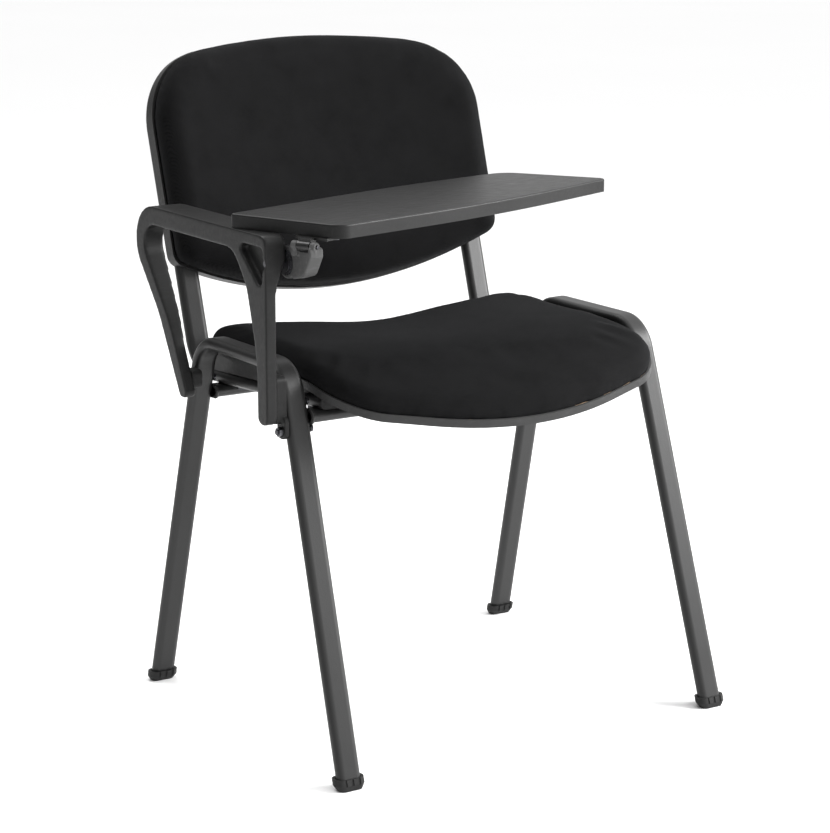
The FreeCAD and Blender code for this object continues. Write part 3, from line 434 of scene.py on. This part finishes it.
def swollen(work, held):
    """Foam pushing its cover out: a short cloth run under pressure, each point's travel
    capped at SWELL. held(point) from 0 to 1 keeps the glued underside where it is."""
    start = [vertex.co.copy() for vertex in work.data.vertices]
    pins = work.vertex_groups.new(name="held")
    for index, point in enumerate(start):
        pins.add([index], held(point), "REPLACE")
    cloth = work.modifiers.new("cloth", "CLOTH")
    cloth.settings.quality = 6
    cloth.settings.mass = 0.35
    cloth.settings.tension_stiffness = cloth.settings.compression_stiffness = 12.0
    cloth.settings.shear_stiffness = 6.0
    cloth.settings.bending_stiffness = 1.2
    cloth.settings.use_pressure = True
    cloth.settings.uniform_pressure_force = PRESSURE
    cloth.settings.effector_weights.gravity = 0.0
    cloth.settings.vertex_group_mass = "held"
    cloth.settings.pin_stiffness = 20.0
    cloth.collision_settings.use_collision = False
    cloth.point_cache.frame_start = 1
    cloth.point_cache.frame_end = CLOTH_FRAMES
    scene = bpy.context.scene
    for step in range(1, CLOTH_FRAMES + 1):
        scene.frame_set(step)
    graph = bpy.context.evaluated_depsgraph_get()
    moved = work.evaluated_get(graph).to_mesh()
    ends = [vertex.co.copy() for vertex in moved.vertices]
    work.evaluated_get(graph).to_mesh_clear()
    work.modifiers.clear()
    for vertex, before, after in zip(work.data.vertices, start, ends):
        travel = (after - before) * (1.0 - held(before))
        if travel.length > SWELL:
            travel *= SWELL / travel.length
        vertex.co = before + travel
    scene.frame_set(1)
    work.vertex_groups.clear()


def cushion(name, node, board, held, material):
    """The upholstered pad that stands for a CAD cushion; its cover wraps the board."""
    work = relaxed(remeshed(joined(name, node, board), VOXEL), EDGE_EASE)
    for vertex in work.data.vertices:
        vertex.co += vertex.normal * COVER
    swollen(work, held)
    relaxed(work, CREASE_EASE)
    finer = work.modifiers.new("finer", "SUBSURF")
    finer.levels = finer.render_levels = 1
    applied(work)
    dressed(work, "chair", "fabric", material)
    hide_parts(node)


def glued_to(node, direction):
    """A function from a point to how firmly it is held: 1 on a CAD node, 0 well off it."""
    mesh = nodes[node].data
    tree = BVHTree.FromPolygons([v.co for v in mesh.vertices], [p.vertices for p in mesh.polygons])

    def held(point):
        stand_off = (point - tree.find_nearest(point)[0]).dot(direction)
        return min(1.0, max(0.0, 1.0 - (stand_off - GLUE_START) / GLUE_FADE))

    return held


# the back leans, so its cushion faces forward and a little up
RECLINE = math.radians(17.0)
SEAT_OUT = Vector((0.0, 0.0, 1.0))
BACK_OUT = Vector((0.0, -math.cos(RECLINE), math.sin(RECLINE)))

cushion("seat_upholstery", "seat_cushion", "seat_board", glued_to("seat_pan", SEAT_OUT),
        materials["fabric"])
cushion("back_upholstery", "back_cushion", "back_board", glued_to("back_shell", BACK_OUT),
        back_fabric)

# ---------------------------------------------------------------- studio

SOFTBOX_SIDE = Vector((0.72, -0.50, 0.48)).normalized()
SKY_FADE = (-0.6, 0.9)
SKY_STRENGTH = (0.06, 2.15)
FLOOR_REACH = 30.0


def add_sky(tree):
    """A white backdrop; what lights the chair is bright on SOFTBOX_SIDE and dim opposite."""
    links, new = tree.links, tree.nodes.new
    backdrop = tree.nodes["Background"]
    backdrop.inputs["Color"].default_value = (1.0, 1.0, 1.0, 1.0)
    toward = new("ShaderNodeVectorMath")
    toward.operation = "DOT_PRODUCT"
    toward.inputs[1].default_value = SOFTBOX_SIDE
    links.new(new("ShaderNodeTexCoord").outputs["Generated"], toward.inputs[0])
    fade = new("ShaderNodeMapRange")
    for socket, number in zip(fade.inputs[1:5], SKY_FADE + SKY_STRENGTH):
        socket.default_value = number
    links.new(toward.outputs["Value"], fade.inputs[0])
    glow = new("ShaderNodeBackground")
    links.new(fade.outputs[0], glow.inputs["Strength"])
    seen = new("ShaderNodeLightPath")
    either = new("ShaderNodeMixShader")
    links.new(seen.outputs["Is Camera Ray"], either.inputs[0])
    links.new(glow.outputs[0], either.inputs[1])
    links.new(backdrop.outputs[0], either.inputs[2])
    links.new(either.outputs[0], tree.nodes["World Output"].inputs[0])


def add_studio():
    floor_mesh = bpy.data.meshes.new("studio_floor")
    plan = bmesh.new()
    bmesh.ops.create_grid(plan, x_segments=1, y_segments=1, size=FLOOR_REACH)
    plan.to_mesh(floor_mesh)
    plan.free()
    paint = Shader("studio_floor", Roughness=0.9)
    paint.set("Base Color", paint.ramp(paint.noise(0.6), (0.0, (0.90, 0.90, 0.90)),
                                       (1.0, (0.93, 0.93, 0.93))))
    floor_mesh.materials.append(paint.material)
    linked("studio_floor", floor_mesh)
    world = bpy.data.worlds.new("studio")
    world.use_nodes = True
    add_sky(world.node_tree)
    bpy.context.scene.world = world
    bpy.context.scene.view_settings.view_transform = "Standard"


def add_light(name, at, aim, size, power):
    lamp = bpy.data.lights.new(name, "AREA")
    lamp.shape = "RECTANGLE"
    lamp.size, lamp.size_y = size
    lamp.energy = power
    light = bpy.data.objects.new(name, lamp)
    light.location = at
    light.rotation_euler = (Vector(aim) - Vector(at)).to_track_quat("-Z", "Y").to_euler()
    bpy.context.scene.collection.objects.link(light)


add_studio()
add_light("key", (2.0, -1.3, 1.5), (0.1, 0.0, 0.45), (1.2, 1.2), 112.0)
add_light("top", (-0.6, 1.2, 2.9), (0.0, 0.0, 0.45), (1.8, 1.4), 52.0)
